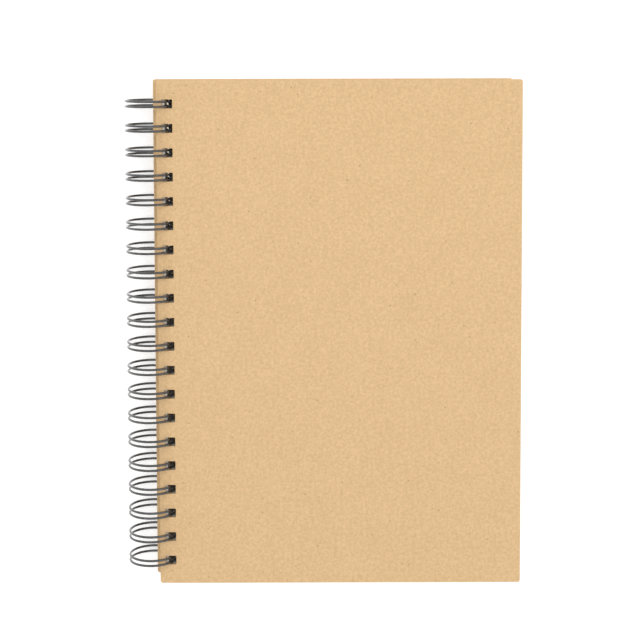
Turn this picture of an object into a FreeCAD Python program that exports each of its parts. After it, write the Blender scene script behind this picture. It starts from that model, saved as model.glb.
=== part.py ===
import FreeCAD, Part
import math
import os

import Sketcher

# A closed twin-loop sketchbook lying on its back cover, in millimetres.  The binding runs
# along Y at the low-X side, the fore-edge is at the high-X side and the front cover is
# uppermost.  The origin is under the middle of the book, at the height of the lowest wire.

# name of each driving size, its value and what it is
SIZES = [
    ("cover_width", 190.0, "cover board from spine edge to fore-edge"),
    ("board_thickness", 1.8, "kraft board of both covers"),
    ("board_corner", 1.2, "corner radius of both covers"),
    ("sheet_count", 40, "sheets of drawing paper"),
    ("sheet_thickness", 0.26, "one sheet"),
    ("sheet_air", 0.045, "air between two sheets"),
    ("sheet_end_inset", 2.0, "covers stand out past the sheets at head and tail"),
    ("sheet_fore_inset", 2.5, "front cover stands out past the sheets at the fore-edge"),
    ("loop_count", 20, "twin loops along the spine"),
    ("loop_pitch", 12.7, "middle to middle of two twin loops"),
    ("end_margin", 12.35, "middle of the outermost loops to the ends of the covers"),
    ("wire_diameter", 1.25, "round wire"),
    ("ring_slack", 5.45, "inside of the closed loops over the thickness of the closed book"),
    ("leg_spacing", 2.75, "middle to middle of the two legs of a loop"),
    ("root_bend", 1.0, "bend where a leg turns into the bar that joins two loops"),
    ("end_stub", 2.5, "straight bar past the outermost loops"),
    ("tip_gap", 0.3, "closed loop tips stop this short of the bars"),
    ("bar_clearance", 0.2, "room above and below the bars"),
    ("hole_margin", 3.0, "board left between spine edge and hole"),
    ("hole_depth", 5.4, "punched hole in a cover, across the spine"),
    ("hole_side_room", 0.325, "hole past each leg of its loop, along the spine"),
    ("hole_far_room", 0.2, "hole past the loops on the fore-edge side"),
    ("hole_near_room", 0.35, "hole in a sheet past the loops on the spine side"),
]

# Places that follow from the driving sizes, as expressions on the size sheet.  Heights and
# reaches are from the middle of the ring, and the last ones are in the book's own frame.
COVER_LENGTH = "(sizes.loop_pitch * (sizes.loop_count - 1) + 2 * sizes.end_margin)"
SHEET_STEP = "(sizes.sheet_thickness + sizes.sheet_air)"
BLOCK_THICKNESS = f"(sizes.sheet_count * {SHEET_STEP})"
BAR_ROOM = "(sizes.wire_diameter + 2 * sizes.bar_clearance)"
BOOK_THICKNESS = f"({BLOCK_THICKNESS} + 2 * sizes.board_thickness + {BAR_ROOM})"
LOOP_INNER_RADIUS = f"(({BOOK_THICKNESS} + sizes.ring_slack) / 2)"
RING_RADIUS = f"({LOOP_INNER_RADIUS} + sizes.wire_diameter)"
# the block and the front cover together are centred on the ring
BLOCK_DROP = f"(({BLOCK_THICKNESS} + sizes.board_thickness) / 2)"
BACK_TOP_DROP = f"({BLOCK_DROP} + {BAR_ROOM})"
BACK_DROP = f"({BACK_TOP_DROP} + sizes.board_thickness)"
FRONT_SPINE = (
    f"({RING_RADIUS} + sizes.hole_far_room - sizes.hole_depth - sizes.hole_margin)"
)
# the back cover's holes are centred on the loops where they pass through it
BACK_LOOP_NEAR = f"sqrt({LOOP_INNER_RADIUS} ^ 2 - {BACK_DROP} ^ 2)"
BACK_LOOP_FAR = f"sqrt({RING_RADIUS} ^ 2 - {BACK_TOP_DROP} ^ 2)"
BACK_HOLE = f"(({BACK_LOOP_NEAR} + {BACK_LOOP_FAR} - sizes.hole_depth) / 2)"
BACK_SPINE = f"({BACK_HOLE} - sizes.hole_margin)"
# the sheets' holes are shorter: just the reach of the loops through the whole block
SHEET_HOLE = f"(sqrt({LOOP_INNER_RADIUS} ^ 2 - {BLOCK_DROP} ^ 2) - sizes.hole_near_room)"
SHEET_HOLE_DEPTH = f"({RING_RADIUS} + sizes.hole_far_room - {SHEET_HOLE})"
SHEET_HOLE_MARGIN = f"({SHEET_HOLE} - {FRONT_SPINE})"
RING_X = f"(({RING_RADIUS} - {FRONT_SPINE} - sizes.cover_width) / 2)"
FRONT_X = f"{RING_X} + {FRONT_SPINE}"
BACK_X = f"{RING_X} + {BACK_SPINE}"
BACK_Z = f"{RING_RADIUS} - {BACK_DROP}"
BLOCK_Z = f"({RING_RADIUS} - {BLOCK_DROP})"
FRONT_Z = f"{BLOCK_Z} + {BLOCK_THICKNESS}"
SHEET_WIDTH = "(sizes.cover_width - sizes.sheet_fore_inset)"
SHEET_LENGTH = f"({COVER_LENGTH} - 2 * sizes.sheet_end_inset)"
HOLE_ROW = "(sizes.loop_pitch * (sizes.loop_count - 1))"
HOLE_WIDTH = "(sizes.leg_spacing + sizes.wire_diameter + 2 * sizes.hole_side_room)"


def size_sheet(doc):
    """The spreadsheet of driving sizes, one aliased plain number in each row."""
    sheet = doc.addObject("Spreadsheet::Sheet", "sizes")
    for row, (alias, value, note) in enumerate(SIZES, start=1):
        sheet.set(f"A{row}", note)
        sheet.set(f"B{row}", str(value))
        sheet.setAlias(f"B{row}", alias)
    doc.recompute()
    return sheet


def rectangle(body, name, bounds):
    """A sketch on the body's XY plane holding one rectangle that is clear of the Y axis
    or starts on it.  bounds gives the expressions of left, below, width and length,
    where below is how far its low edge is under the X axis."""
    sketch = body.newObject("Sketcher::SketchObject", name)
    plane = next(f for f in body.Origin.OriginFeatures if f.Role == "XY_Plane")
    sketch.AttachmentSupport = [(plane, "")]
    sketch.MapMode = "FlatFace"
    corners = [FreeCAD.Vector(x, y, 0) for x, y in [(1, -1), (3, -1), (3, 2), (1, 2)]]
    for start, end in zip(corners, corners[1:] + corners[:1]):
        sketch.addGeometry(Part.LineSegment(start, end), False)
    for line in range(4):
        sketch.addConstraint(Sketcher.Constraint("Coincident", line, 2, (line + 1) % 4, 1))
    for line, direction in enumerate(["Horizontal", "Vertical", "Horizontal", "Vertical"]):
        sketch.addConstraint(Sketcher.Constraint(direction, line))
    measured = [
        ("left", Sketcher.Constraint("DistanceX", -1, 1, 0, 1, 1.0)),
        ("below", Sketcher.Constraint("DistanceY", 0, 1, -1, 1, 1.0)),
        ("width", Sketcher.Constraint("DistanceX", 0, 1, 0, 2, 2.0)),
        ("length", Sketcher.Constraint("DistanceY", 1, 1, 1, 2, 3.0)),
    ]
    for side, constraint in measured:
        index = sketch.addConstraint(constraint)
        sketch.renameConstraint(index, side)
        sketch.setExpression(f"Constraints.{side}", bounds[side])
    return sketch


def pad_leaf(body, width, length, thickness):
    """The blank of a cover or sheet: spine edge on the Y axis, underside on the XY plane."""
    bounds = {"left": "0", "below": f"{length} / 2", "width": width, "length": length}
    pad = body.newObject("PartDesign::Pad", "blank")
    pad.Profile = rectangle(body, "outline", bounds)
    pad.setExpression("Length", thickness)
    return pad


def round_corners(doc, body, pad):
    """Rounds the four upright corners of a cover's blank."""
    doc.recompute()
    upright = [
        f"Edge{number}"
        for number, edge in enumerate(pad.Shape.Edges, start=1)
        if abs(edge.tangentAt(edge.FirstParameter).z) > 0.5
    ]
    fillet = body.newObject("PartDesign::Fillet", "corners")
    fillet.Base = (pad, upright)
    fillet.setExpression("Radius", "sizes.board_corner")


def punch_holes(body, margin, depth):
    """The row of rectangular binding holes, one for each twin loop."""
    bounds = {
        "left": margin,
        "below": f"({HOLE_ROW} + {HOLE_WIDTH}) / 2",
        "width": depth,
        "length": HOLE_WIDTH,
    }
    hole = body.newObject("PartDesign::Pocket", "hole")
    hole.Profile = rectangle(body, "hole_outline", bounds)
    hole.Type = "ThroughAll"
    hole.Reversed = True
    row = body.newObject("PartDesign::LinearPattern", "hole_row")
    row.Originals = [hole]
    along = next(f for f in body.Origin.OriginFeatures if f.Role == "Y_Axis")
    row.Direction = (along, [""])
    row.setExpression("Length", HOLE_ROW)
    row.setExpression("Occurrences", "sizes.loop_count")
    body.Tip = row


def place(body, x, z):
    """Binds the body's place to two expressions."""
    body.setExpression("Placement.Base.x", x)
    body.setExpression("Placement.Base.z", z)


def cover(doc, name, x, z):
    """A punched kraft board with small round corners."""
    body = doc.addObject("PartDesign::Body", name)
    body.Label = name
    pad = pad_leaf(body, "sizes.cover_width", COVER_LENGTH, "sizes.board_thickness")
    round_corners(doc, body, pad)
    punch_holes(body, "sizes.hole_margin", "sizes.hole_depth")
    place(body, x, z)
    return body


def drawing_sheet(doc, number, count):
    """One punched sheet of paper.  Sheet 1 is uppermost, under the front cover."""
    name = f"sheet_{number:02d}"
    body = doc.addObject("PartDesign::Body", name)
    body.Label = name
    pad_leaf(body, SHEET_WIDTH, SHEET_LENGTH, "sizes.sheet_thickness")
    punch_holes(body, SHEET_HOLE_MARGIN, SHEET_HOLE_DEPTH)
    place(body, FRONT_X, f"{BLOCK_Z} + {count - number} * {SHEET_STEP}")
    return body


def evaluate(doc, expression):
    """The number that an expression on the size sheet stands for."""
    value = doc.getObject("sizes").evalExpression(expression)
    return float(getattr(value, "Value", value))


class LoopPath:
    """The middle line of the binding wire: bars along Y that join closed twin loops.

    Each loop leaves its bar clockwise, seen from the tail with the fore-edge to the right:
    down through the back cover, round the spine side, over the top and down through the
    front cover and the sheets.  Its tip turns back just above the bars."""

    def __init__(self, doc):
        sizes = doc.getObject("sizes")
        self.radius = evaluate(doc, RING_RADIUS) - sizes.wire_diameter / 2
        self.half_legs = sizes.leg_spacing / 2
        self.bend = sizes.root_bend
        self.stub = sizes.end_stub
        self.middle_x = evaluate(doc, RING_X)
        self.middle_z = evaluate(doc, RING_RADIUS)
        bar_z = evaluate(doc, f"{BLOCK_Z} - {BAR_ROOM} / 2") - self.middle_z
        bar_angle = math.asin(bar_z / math.hypot(self.radius, self.bend))
        self.root_angle = bar_angle - math.atan2(self.bend, self.radius)
        bar_to_tip = sizes.wire_diameter + sizes.tip_gap
        tip_angle = bar_angle + 2 * math.asin(bar_to_tip / 2 / self.radius)
        self.end_angle = tip_angle + math.atan2(self.half_legs, self.radius)

    def point(self, angle, ahead, y):
        """The point at this angle round the ring, moved ahead along the clockwise tangent."""
        x = self.radius * math.cos(angle) + ahead * math.sin(angle)
        z = self.radius * math.sin(angle) - ahead * math.cos(angle)
        return FreeCAD.Vector(self.middle_x + x, y, self.middle_z + z)

    def leg(self, y):
        """The long arc of one leg, from its bar end to its tip end."""
        end = self.end_angle - 2 * math.pi
        middle = (self.root_angle + end) / 2
        angles = [self.root_angle, middle, end]
        return Part.Arc(*[self.point(angle, 0, y) for angle in angles])

    def root(self, y, outward):
        """The quarter bend between a bar and the leg at y.  outward is the bar's side."""
        short = self.bend * (1 - math.sqrt(0.5))
        bar_end = self.point(self.root_angle, -self.bend, y + outward * self.bend)
        middle = self.point(self.root_angle, -self.bend + short, y + outward * short)
        return Part.Arc(bar_end, middle, self.point(self.root_angle, 0, y))

    def tip(self, y):
        """The half turn that joins the two legs of the loop at y."""
        ends = [self.point(self.end_angle, 0, y + side * self.half_legs) for side in (-1, 1)]
        return Part.Arc(ends[0], self.point(self.end_angle, self.half_legs, y), ends[1])

    def bar(self, start, end):
        """The straight bar between two places along Y."""
        ends = [self.point(self.root_angle, -self.bend, y) for y in (start, end)]
        return Part.LineSegment(*ends)

    def loop(self, y, start, end):
        """The middle line of the loop at y, with its share of the bars from start to end."""
        low, high = y - self.half_legs, y + self.half_legs
        reach = self.half_legs + self.bend
        curves = [self.bar(start, y - reach), self.root(low, -1), self.leg(low)]
        curves += [self.tip(y), self.leg(high), self.root(high, 1), self.bar(y + reach, end)]
        return Part.Wire(Part.__sortEdges__([curve.toShape() for curve in curves]))

    def loops(self, places):
        """Middle lines of all the loops.  Neighbours meet at the middle of their bar."""
        joints = [(low + high) / 2 for low, high in zip(places, places[1:])]
        overhang = self.half_legs + self.bend + self.stub
        starts = [places[0] - overhang] + joints
        ends = joints + [places[-1] + overhang]
        return [self.loop(*stretch) for stretch in zip(places, starts, ends)]


def round_wire(line, diameter):
    """A round section carried along a middle line."""
    first = line.OrderedEdges[0]
    start = first.valueAt(first.FirstParameter)
    ahead = first.tangentAt(first.FirstParameter)
    section = Part.Circle(start, ahead, diameter / 2).toShape()
    return line.makePipe(Part.Face(Part.Wire(section)))


def binding_wire(doc):
    """The binding wire, one solid for each loop, which meet face to face on the bars.

    Its middle line leaves the plane of each loop at the bars, which a sketch can't hold,
    so the shape is made from lines and arcs in space."""
    sizes = doc.getObject("sizes")
    row = evaluate(doc, HOLE_ROW)
    places = [i * sizes.loop_pitch - row / 2 for i in range(int(sizes.loop_count))]
    lines = LoopPath(doc).loops(places)
    feature = doc.addObject("Part::Feature", "twin_loop_wire")
    feature.Label = "twin_loop_wire"
    feature.Shape = Part.Compound([round_wire(line, sizes.wire_diameter) for line in lines])
    length = sum(line.Length for line in lines)
    section = math.pi * sizes.wire_diameter ** 2 / 4
    lost = feature.Shape.Volume - section * length
    print(f"wire {length:.1f} mm long, volume off by {lost:.4f} mm3")
    return feature


def check(doc, solids):
    """Stops on a failed object, or a sub-part that isn't valid or hasn't its solids."""
    for item in doc.Objects:
        if "Invalid" in item.State or "Error" in item.State:
            raise RuntimeError(f"{item.Name} failed: {item.State}")
    for piece, count in solids:
        shape = piece.Shape
        if shape.isNull() or not shape.isValid() or len(shape.Solids) != count:
            raise RuntimeError(f"{piece.Label} isn't {count} valid solids")


def main():
    doc = FreeCAD.newDocument("sketchbook")
    sizes = size_sheet(doc)
    sheet_count = int(sizes.sheet_count)
    leaves = [
        cover(doc, "front_cover", FRONT_X, FRONT_Z),
        cover(doc, "back_cover", BACK_X, BACK_Z),
    ]
    numbers = range(1, sheet_count + 1)
    leaves += [drawing_sheet(doc, number, sheet_count) for number in numbers]
    doc.recompute()
    solids = [(leaf, 1) for leaf in leaves]
    solids.append((binding_wire(doc), int(sizes.loop_count)))
    check(doc, solids)
    os.makedirs("parts", exist_ok=True)
    for piece, _ in solids:
        piece.Shape.exportStep(os.path.join("parts", f"{piece.Label}.step"))


main()
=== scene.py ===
import math

import bmesh
import bpy
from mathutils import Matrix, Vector


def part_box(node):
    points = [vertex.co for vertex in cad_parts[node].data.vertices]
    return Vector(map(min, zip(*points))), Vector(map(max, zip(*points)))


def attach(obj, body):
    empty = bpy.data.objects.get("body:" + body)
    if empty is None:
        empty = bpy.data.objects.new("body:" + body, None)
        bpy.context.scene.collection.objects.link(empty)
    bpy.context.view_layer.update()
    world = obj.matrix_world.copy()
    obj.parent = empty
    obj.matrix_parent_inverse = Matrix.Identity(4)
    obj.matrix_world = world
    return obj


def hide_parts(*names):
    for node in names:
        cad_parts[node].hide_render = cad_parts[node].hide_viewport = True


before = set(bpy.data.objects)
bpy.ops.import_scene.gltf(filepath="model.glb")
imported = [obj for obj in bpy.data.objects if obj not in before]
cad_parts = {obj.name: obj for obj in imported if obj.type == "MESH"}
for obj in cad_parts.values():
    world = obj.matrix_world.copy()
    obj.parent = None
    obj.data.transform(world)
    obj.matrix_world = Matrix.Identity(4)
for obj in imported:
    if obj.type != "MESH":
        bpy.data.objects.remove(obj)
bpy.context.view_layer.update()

# A closed twin-loop sketchbook: two kraft boards and a block of drawing paper on one
# continuous coated wire.  Everything here is in metres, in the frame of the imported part.

MM = 0.001


def linear(code):
    """An sRGB hex colour as the linear RGBA that shaders take."""
    channels = [int(code[i : i + 2], 16) / 255 for i in (1, 3, 5)]
    curve = [c / 12.92 if c <= 0.04045 else ((c + 0.055) / 1.055) ** 2.4 for c in channels]
    return (*curve, 1.0)


MATH = "ShaderNodeMath"
MIX = "ShaderNodeMix"
RANGE = "ShaderNodeMapRange"


def add(tree, kind, inputs=None, **settings):
    """Adds a node with its settings.  An input is a value, or the node or the output that
    it is linked from."""
    node = tree.nodes.new(kind)
    for name, value in settings.items():
        setattr(node, name, value)
    for socket, value in (inputs or {}).items():
        if isinstance(value, bpy.types.Node):
            value = next(output for output in value.outputs if output.enabled)
        if isinstance(value, bpy.types.NodeSocket):
            tree.links.new(value, node.inputs[socket])
        else:
            node.inputs[socket].default_value = value
    return node


# ---------------------------------------------------------------- materials


def new_material(name):
    """An empty material, its node tree and its coordinates."""
    material = bpy.data.materials.new(name)
    material.use_nodes = True
    material.node_tree.nodes.clear()
    return material, material.node_tree, add(material.node_tree, "ShaderNodeTexCoord")


def finish_surface(tree, color, roughness, height, strength, depth, constants):
    """Puts colour, roughness and height on a surface.  Strength and depth are those of its
    bumps, and constants are set on the shader's own sockets."""
    bumps = {"Height": height, "Strength": strength, "Distance": depth}
    bump = add(tree, "ShaderNodeBump", bumps)
    patterns = {"Base Color": color, "Roughness": roughness, "Normal": bump}
    shader = add(tree, "ShaderNodeBsdfPrincipled", {**constants, **patterns})
    add(tree, "ShaderNodeOutputMaterial", {"Surface": shader})


def mottle(tree, vector, size, detail=3.0, stretch=(1, 1, 1), turn=0.0, seed=0.0):
    """Noise whose features are about size metres, longer along an axis where stretch is
    under 1, turned about Z and moved by seed so that no two patterns line up."""
    moved = add(
        tree,
        "ShaderNodeMapping",
        {"Rotation": (0, 0, turn), "Location": (seed, 2 * seed, 0), "Vector": vector},
        vector_type="TEXTURE",
    )
    scale = tuple(s / size for s in stretch)
    scaled = add(tree, "ShaderNodeVectorMath", {0: moved, 1: scale}, operation="MULTIPLY")
    wanted = {"Vector": scaled, "Scale": 1.0, "Detail": detail, "Roughness": 0.55}
    return add(tree, "ShaderNodeTexNoise", wanted)


def fibres(tree, vector, length, width, turn, seed, cut):
    """Short strokes lying one way: 1 on a fibre and 0 off it."""
    strokes = mottle(tree, vector, width, 1.0, (width / length, 1, 1), turn, seed)
    return add(tree, RANGE, {0: strokes, 1: cut, 2: cut + 0.09})


def pulp(tree, vector):
    """The tangle of fibres on a pressed board, as one value round 0.5.

    Pulp fibres are 0.03 mm thick and 3 mm long.  They are drawn 0.6 mm thick, the
    thinnest that shows from arm's length."""
    tangle = 0.0
    for index, turn in enumerate((0.15, 0.95, 1.75, 2.6)):
        light = fibres(tree, vector, 4 * MM, 0.6 * MM, turn, 0.37 + index, 0.56)
        dark = fibres(tree, vector, 3 * MM, 0.6 * MM, turn + 0.4, 5.1 + index, 0.58)
        pair = add(tree, MATH, {0: light, 1: dark}, operation="SUBTRACT")
        tangle = add(tree, MATH, {0: tangle, 1: pair}, operation="ADD")
    return add(tree, RANGE, {0: tangle, 1: -1.6, 2: 1.6})


def kraft_board():
    """Unbleached kraft pulp pressed into board, uncoated: matt, warm tan and mottled,
    with pale and dark fibres, faint streaks the way it ran through the mill, and a few
    specks of bark."""
    material, tree, coordinates = new_material("kraft_board")
    vector = coordinates.outputs["Object"]
    clouds = add(tree, RANGE, {0: mottle(tree, vector, 18 * MM, seed=2.2), 1: 0.3, 2: 0.7})
    grain = add(tree, RANGE, {0: mottle(tree, vector, 1.5 * MM, 2.5, seed=3.4), 1: 0.3, 2: 0.7})
    streaks = mottle(tree, vector, 1.1 * MM, 2.0, (1, 0.07, 1), 0, 6.1)
    streaks = add(tree, RANGE, {0: streaks, 1: 0.3, 2: 0.7})
    tone = 0.0
    for layer, share in ((grain, 0.5), (pulp(tree, vector), 0.4), (streaks, 0.1)):
        tone = add(tree, MATH, {0: layer, 1: share, 2: tone}, operation="MULTIPLY_ADD")
    tone = add(tree, RANGE, {0: tone, 1: 0.22, 2: 0.78})
    tans = {0: tone, 6: linear("#CEAC7F"), 7: linear("#DEBC8F")}
    color = add(tree, MIX, tans, data_type="RGBA")
    shade = add(tree, MATH, {0: clouds, 1: 0.06}, operation="MULTIPLY")
    color = add(tree, MIX, {0: shade, 6: color, 7: linear("#B0885A")}, data_type="RGBA")
    # a speck of bark every few millimetres, in one cell out of seven
    cells = add(tree, "ShaderNodeTexVoronoi", {"Vector": vector, "Scale": 1 / (3.2 * MM)})
    speck = add(tree, RANGE, {0: cells.outputs["Distance"], 1: 0.05, 2: 0.17, 3: 0.6, 4: 0.0})
    chance = add(tree, "ShaderNodeSeparateColor", {0: cells.outputs["Color"]})
    rare = add(tree, RANGE, {0: chance, 1: 0.82, 2: 0.92})
    bark = add(tree, MATH, {0: speck, 1: rare}, operation="MULTIPLY")
    color = add(tree, MIX, {0: bark, 6: color, 7: linear("#8A6238")}, data_type="RGBA")
    roughness = add(tree, RANGE, {0: grain, 3: 0.82, 4: 0.94})
    surface = {"IOR": 1.5, "Specular IOR Level": 0.25}
    finish_surface(tree, color, roughness, tone, 0.35, 0.06 * MM, surface)
    return material


def cut_board_edge():
    """The cut edge of the board: its plies show as thin uneven streaks, a little greyer
    and rougher than the pressed face."""
    material, tree, coordinates = new_material("cut_board_edge")
    vector = coordinates.outputs["Object"]
    plies = mottle(tree, vector, 0.22 * MM, 3.0, (0.03, 0.03, 1.0), 0.0, 1.3)
    crumbs = mottle(tree, vector, 0.5 * MM, 3.0, seed=4.0)
    streaks = add(tree, RANGE, {0: plies, 1: 0.35, 2: 0.65})
    tans = {0: streaks, 6: linear("#B08D62"), 7: linear("#D3B184")}
    color = add(tree, MIX, tans, data_type="RGBA")
    worn = add(tree, RANGE, {0: crumbs, 1: 0.4, 2: 0.7, 4: 0.35})
    color = add(tree, MIX, {0: worn, 6: color, 7: linear("#C4A178")}, data_type="RGBA")
    roughness = add(tree, RANGE, {0: crumbs, 3: 0.88, 4: 0.97})
    relief = add(tree, MATH, {0: plies, 1: crumbs}, operation="ADD")
    surface = {"IOR": 1.5, "Specular IOR Level": 0.2}
    finish_surface(tree, color, roughness, relief, 0.6, 0.12 * MM, surface)
    return material


def drawing_paper():
    """Uncoated cartridge paper: soft white with a fine tooth.  Its cut edges, seen
    together, are a stack of thin lines of slightly different greys."""
    material, tree, coordinates = new_material("drawing_paper")
    vector = coordinates.outputs["Object"]
    clouds = add(tree, RANGE, {0: mottle(tree, vector, 5 * MM, 4.0, seed=7.0), 1: 0.3, 2: 0.7})
    whites = {0: clouds, 6: linear("#ECE9E0"), 7: linear("#F0EDE5")}
    face = add(tree, MIX, whites, data_type="RGBA")
    # one line to about each second sheet, in runs that fade along the edge
    lines = mottle(tree, vector, 0.55 * MM, 2.0, (0.012, 0.012, 1.0), 0.0, 8.0)
    lines = add(tree, RANGE, {0: lines, 1: 0.34, 2: 0.62})
    greys = {0: lines, 6: linear("#CFCBC0"), 7: linear("#F3F0E8")}
    cut = add(tree, MIX, greys, data_type="RGBA")
    normal = add(tree, "ShaderNodeSeparateXYZ", {0: coordinates.outputs["Normal"]})
    upright = add(tree, MATH, {0: normal.outputs["Z"]}, operation="ABSOLUTE")
    is_face = add(tree, RANGE, {0: upright, 1: 0.4, 2: 0.6})
    color = add(tree, MIX, {0: is_face, 6: cut, 7: face}, data_type="RGBA")
    tooth = mottle(tree, vector, 0.45 * MM, 4.0, seed=9.0)
    roughness = add(tree, RANGE, {0: tooth, 3: 0.88, 4: 0.98})
    surface = {"IOR": 1.5, "Specular IOR Level": 0.2}
    finish_surface(tree, color, roughness, tooth, 0.3, 0.04 * MM, surface)
    return material


def coated_wire():
    """Steel wire in a thin black nylon coat: smooth and glossy, with the faint ripple
    of a dipped coat and slightly duller rubbed patches."""
    material, tree, coordinates = new_material("coated_wire")
    vector = coordinates.outputs["Object"]
    ripple = mottle(tree, vector, 1.6 * MM, 2.0, seed=11.0)
    rub = mottle(tree, vector, 6 * MM, 3.0, seed=12.0)
    patches = add(tree, RANGE, {0: rub, 1: 0.35, 2: 0.7})
    blacks = {0: patches, 6: linear("#141416"), 7: linear("#222225")}
    color = add(tree, MIX, blacks, data_type="RGBA")
    roughness = add(tree, RANGE, {0: rub, 1: 0.3, 2: 0.75, 3: 0.16, 4: 0.3})
    surface = {"IOR": 1.53, "Coat Weight": 1.0, "Coat IOR": 1.6, "Coat Roughness": 0.06}
    finish_surface(tree, color, roughness, ripple, 0.12, 0.05 * MM, surface)
    return material


def plain_floor():
    """A translucent white acrylic table lit from below as well, so shadows stay faint."""
    material, tree, coordinates = new_material("studio_white")
    dust = mottle(tree, coordinates.outputs["Object"], 0.2, 2.0)
    whites = {0: dust, 6: linear("#DEDEDE"), 7: linear("#E0E0E0")}
    color = add(tree, MIX, whites, data_type="RGBA")
    roughness = add(tree, RANGE, {0: dust, 3: 0.9, 4: 1.0})
    surface = {
        "Specular IOR Level": 0.1,
        "Emission Color": linear("#FFFFFF"),
        "Emission Strength": 0.45,
    }
    finish_surface(tree, color, roughness, dust, 0.0, 0.0, surface)
    return material


# ---------------------------------------------------------------- pieces


def new_object(name, mesh):
    """An object at the origin that holds a mesh."""
    item = bpy.data.objects.new(name, mesh)
    bpy.context.scene.collection.objects.link(item)
    return item


# The binding's row of loops, which the holes follow.
LOOP_COUNT = 20
LOOP_PITCH = 12.7 * MM


def loop_places():
    """The middle of each loop along the spine."""
    return [(index - (LOOP_COUNT - 1) / 2) * LOOP_PITCH for index in range(LOOP_COUNT)]


# The covers, in their maker's sizes.  A board's arrises are crushed a little by the
# guillotine, and the corners of its holes are as round as the punch's.
BOARD_CORNER = 1.2 * MM
ARRIS = 0.18 * MM
HOLE_MARGIN = 3.0 * MM
HOLE_DEPTH = 5.4 * MM
HOLE_WIDTH = 4.65 * MM
HOLE_CORNER = 0.4 * MM
CORNER_STEPS = 6
ARRIS_STEPS = 3


def rounded_rectangle(low, high, radius, steps):
    """The corners of a rectangle with round corners, counterclockwise."""
    middles = [
        (high[0] - radius, high[1] - radius),
        (low[0] + radius, high[1] - radius),
        (low[0] + radius, low[1] + radius),
        (high[0] - radius, low[1] + radius),
    ]
    points = []
    for quarter, (x, y) in enumerate(middles):
        for step in range(steps + 1):
            turn = math.pi / 2 * (quarter + step / steps)
            points.append((x + radius * math.cos(turn), y + radius * math.sin(turn)))
    return points


def soft_side(bottom, top):
    """(inset, height) down a board's side, round the upper arris and the lower one."""
    turns = [math.pi / 2 * step / ARRIS_STEPS for step in range(ARRIS_STEPS + 1)]
    upper = [(ARRIS * (1 - math.sin(t)), top - ARRIS * (1 - math.cos(t))) for t in turns]
    return upper + [(inset, bottom + top - height) for inset, height in reversed(upper)]


def wall(shape, low, high, radius, side, facing):
    """The side of a board (facing 1) or of a hole in it (facing -1).  Gives its top and
    bottom rings of vertices."""
    rings = []
    for inset, height in side:
        move = inset * facing
        corners = rounded_rectangle(
            (low[0] + move, low[1] + move),
            (high[0] - move, high[1] - move),
            radius - move,
            CORNER_STEPS,
        )
        rings.append([shape.verts.new((x, y, height)) for x, y in corners])
    for number, (upper, lower) in enumerate(zip(rings, rings[1:])):
        for a, b, c, d in zip(upper, lower, lower[1:] + lower[:1], upper[1:] + upper[:1]):
            face = shape.faces.new((a, b, c, d) if facing > 0 else (d, c, b, a))
            face.smooth = True
            face.material_index = 1 if number == ARRIS_STEPS else 0
    return rings[0], rings[-1]


def fill(shape, rings):
    """A flat face between an outline and the holes in it."""
    edges = [shape.edges.get(pair) for ring in rings for pair in zip(ring, ring[1:] + ring[:1])]
    bmesh.ops.triangle_fill(shape, use_beauty=True, edges=edges)


def board_piece(name, node, face_material, edge_material):
    """A cover: a punched board with soft arrises and cut sides."""
    low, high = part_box(node)
    side = soft_side(low.z, high.z)
    shape = bmesh.new()
    rings = [wall(shape, low, high, BOARD_CORNER, side, 1)]
    spine = low.x + HOLE_MARGIN
    for middle in loop_places():
        corner = (spine, middle - HOLE_WIDTH / 2)
        opposite = (spine + HOLE_DEPTH, middle + HOLE_WIDTH / 2)
        rings.append(wall(shape, corner, opposite, HOLE_CORNER, side, -1))
    for level in zip(*rings):
        fill(shape, level)
    bmesh.ops.recalc_face_normals(shape, faces=shape.faces)
    mesh = bpy.data.meshes.new(name)
    shape.to_mesh(mesh)
    shape.free()
    mesh.materials.append(face_material)
    mesh.materials.append(edge_material)
    piece = new_object(name, mesh)
    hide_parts(node)
    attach(piece, node)


def paper_block(material):
    """Gives every sheet its paper."""
    for name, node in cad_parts.items():
        if name.startswith("sheet_"):
            node.data.materials.clear()
            node.data.materials.append(material)


# The wire, measured as a binder would: across the rings, along the row and at the bends.
WIRE_DIAMETER = 1.25 * MM
ROOT_BEND = 1.0 * MM
END_STUB = 2.5 * MM
# the legs stand further apart at the bars than at the tip of the hairpin
LEGS_AT_BARS = 1.5 * MM
LEGS_AT_TIP = 1.25 * MM
TIP_CLEARANCE = 0.3 * MM
BARS_ABOVE_BACK_COVER = 0.825 * MM


def loop_angles(radius, centre):
    """Where on the ring the legs leave the bars and where their tips end."""
    bar_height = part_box("back_cover")[1][2] + BARS_ABOVE_BACK_COVER - centre.z
    bar = math.asin(bar_height / math.hypot(radius, ROOT_BEND))
    tip = bar + 2 * math.asin((WIRE_DIAMETER + TIP_CLEARANCE) / 2 / radius)
    root = bar - math.atan2(ROOT_BEND, radius)
    return root, tip + math.atan2(LEGS_AT_TIP, radius) - 2 * math.pi


def on_ring(centre, radius, angle, ahead, y):
    """A point at an angle round the ring, moved ahead along the clockwise tangent."""
    x = radius * math.cos(angle) + ahead * math.sin(angle)
    z = radius * math.sin(angle) - ahead * math.cos(angle)
    return Vector((centre.x + x, y, centre.z + z))


LEG_POINTS = 96
BEND_POINTS = 7
TIP_POINTS = 14


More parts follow.
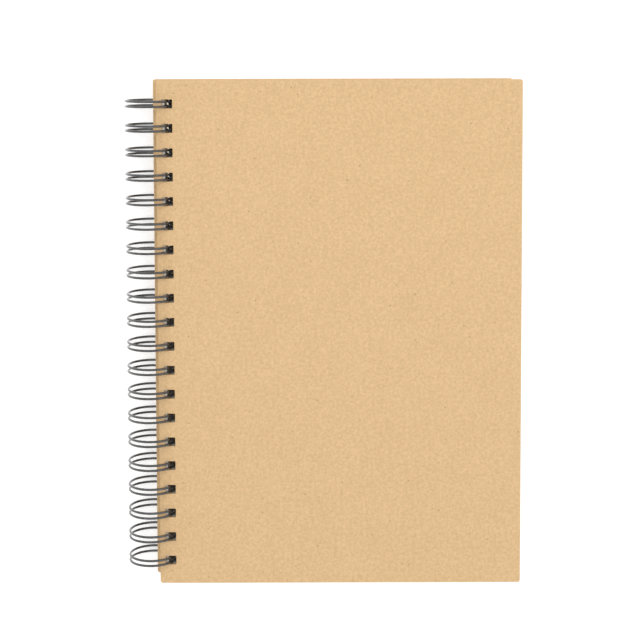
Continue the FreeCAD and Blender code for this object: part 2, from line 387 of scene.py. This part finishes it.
def half_loop(centre, radius, middle, side):
    """The points of one leg from its bar to the apex of the tip, on one side of the loop."""
    root, end = loop_angles(radius, centre)
    points = []
    for step in range(BEND_POINTS):
        turn = math.pi / 2 * step / BEND_POINTS
        ahead = -ROOT_BEND * math.cos(turn)
        y = middle + side * (LEGS_AT_BARS + ROOT_BEND * (1 - math.sin(turn)))
        points.append(on_ring(centre, radius, root, ahead, y))
    for step in range(LEG_POINTS + 1):
        share = step / LEG_POINTS
        ease = share * share * (3 - 2 * share)
        spacing = LEGS_AT_BARS + (LEGS_AT_TIP - LEGS_AT_BARS) * ease
        angle = root + (end - root) * share
        points.append(on_ring(centre, radius, angle, 0, middle + side * spacing))
    for step in range(1, TIP_POINTS + 1):
        turn = math.pi / 2 * step / TIP_POINTS
        ahead = LEGS_AT_TIP * math.sin(turn)
        y = middle + side * LEGS_AT_TIP * math.cos(turn)
        points.append(on_ring(centre, radius, end, ahead, y))
    return points


def wire_path():
    """Every point of the wire's middle line, from its tail end to its head end."""
    low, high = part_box("twin_loop_wire")
    radius = (high[2] - low[2] - WIRE_DIAMETER) / 2
    centre = Vector(((low[0] + high[0]) / 2, 0, (low[2] + high[2]) / 2))
    points = []
    for middle in loop_places():
        near = half_loop(centre, radius, middle, -1)
        far = half_loop(centre, radius, middle, 1)
        points += near + far[-2::-1]
    reach = Vector((0, END_STUB, 0))
    return [points[0] - reach] + points + [points[-1] + reach]


def wire_tree():
    """The node tree that carries a round section along a path."""
    tree = bpy.data.node_groups.new("wire_along_path", "GeometryNodeTree")
    face = tree.interface
    face.new_socket("Geometry", in_out="INPUT", socket_type="NodeSocketGeometry")
    face.new_socket("Wire diameter", in_out="INPUT", socket_type="NodeSocketFloat")
    face.new_socket("Sides", in_out="INPUT", socket_type="NodeSocketInt")
    face.new_socket("Coat", in_out="INPUT", socket_type="NodeSocketMaterial")
    face.new_socket("Geometry", in_out="OUTPUT", socket_type="NodeSocketGeometry")
    given = add(tree, "NodeGroupInput").outputs
    radius = add(tree, MATH, {0: given[1], 1: 2.0}, operation="DIVIDE")
    line = add(tree, "GeometryNodeMeshToCurve", {"Mesh": given[0]})
    section = add(
        tree, "GeometryNodeCurvePrimitiveCircle", {"Resolution": given[2], "Radius": radius}
    )
    sweep = {"Curve": line, "Profile Curve": section, "Fill Caps": True}
    wire = add(tree, "GeometryNodeCurveToMesh", sweep)
    smooth = add(tree, "GeometryNodeSetShadeSmooth", {"Geometry": wire})
    real = add(tree, "GeometryNodeRealizeInstances", {"Geometry": smooth})
    coated = add(tree, "GeometryNodeSetMaterial", {"Geometry": real, "Material": given[3]})
    add(tree, "NodeGroupOutput", {0: coated})
    return tree


WIRE_SIDES = 14


def wire_piece(material):
    """The whole binding wire as one closed mesh."""
    points = wire_path()
    path = bpy.data.meshes.new("wire_path")
    path.from_pydata(points, [(i, i + 1) for i in range(len(points) - 1)], [])
    carrier = new_object("wire_path", path)
    tree = wire_tree()
    modifier = carrier.modifiers.new("wire_along_path", "NODES")
    modifier.node_group = tree
    inputs = {"Wire diameter": WIRE_DIAMETER, "Sides": WIRE_SIDES, "Coat": material}
    for item in tree.interface.items_tree:
        if item.in_out == "INPUT" and item.name in inputs:
            modifier[item.identifier] = inputs[item.name]
    graph = bpy.context.evaluated_depsgraph_get()
    mesh = bpy.data.meshes.new_from_object(carrier.evaluated_get(graph))
    bpy.data.objects.remove(carrier)
    mesh.name = "binding_wire"
    piece = new_object("binding_wire", mesh)
    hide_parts("twin_loop_wire")
    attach(piece, "twin_loop_wire")


# ---------------------------------------------------------------- stage


def floor():
    """A plain white floor under the book that sweeps up into a round wall on all sides."""
    flat, curve, top = 2.0, 1.0, 3.0
    around, up = 64, 12
    rise = [math.pi / 2 * step / up for step in range(up + 1)]
    profile = [(flat + curve * math.sin(t), curve * (1 - math.cos(t))) for t in rise]
    profile.append((flat + curve, top))
    turns = [2 * math.pi * step / around for step in range(around)]
    points = [(r * math.cos(t), r * math.sin(t), z) for r, z in profile for t in turns]
    faces = [tuple(range(around))]
    for ring in range(len(profile) - 1):
        for step in range(around):
            low, after = ring * around + step, ring * around + (step + 1) % around
            faces.append((after, low, low + around, after + around))
    mesh = bpy.data.meshes.new("floor")
    mesh.from_pydata(points, [], faces)
    mesh.materials.append(plain_floor())
    mesh.shade_smooth()
    new_object("floor", mesh)


def soft_light(name, place, target, size, power):
    """A softbox of a width and depth that faces a point."""
    data = bpy.data.lights.new(name, "AREA")
    data.shape = "RECTANGLE"
    data.size, data.size_y = size
    data.energy = power
    lamp = bpy.data.objects.new(name, data)
    bpy.context.scene.collection.objects.link(lamp)
    lamp.location = place
    lamp.rotation_euler = (Vector(target) - Vector(place)).to_track_quat("-Z", "Y").to_euler()


def studio():
    """Dim white surroundings and one long softbox overhead, across the book, which draws a
    line of light along the top of every loop."""
    world = bpy.data.worlds.new("studio")
    world.use_nodes = True
    background = world.node_tree.nodes["Background"]
    background.inputs["Color"].default_value = linear("#FFFFFF")
    background.inputs["Strength"].default_value = 0.3
    bpy.context.scene.world = world
    soft_light("overhead", place=(0.1, 0.3, 1.3), target=(0, 0, 0), size=(2.8, 0.45), power=14.1)
    bpy.context.scene.view_settings.view_transform = "Standard"


def camera():
    """Looking down from above the head of the book, tilted a little, with the frame moved
    so that the book stands in the middle of it."""
    data = bpy.data.cameras.new("camera")
    data.sensor_width = 36.0
    data.lens = 84.49
    data.shift_y = -0.29
    view = bpy.data.objects.new("camera", data)
    bpy.context.scene.collection.objects.link(view)
    view.location = (-0.0013, 0.1572, 0.7965)
    view.rotation_euler = (math.radians(-3.87), 0, math.radians(-0.16))
    bpy.context.scene.camera = view


board = kraft_board()
edge = cut_board_edge()
board_piece("front_board", "front_cover", board, edge)
board_piece("back_board", "back_cover", board, edge)
paper_block(drawing_paper())
wire_piece(coated_wire())
floor()
studio()
camera()
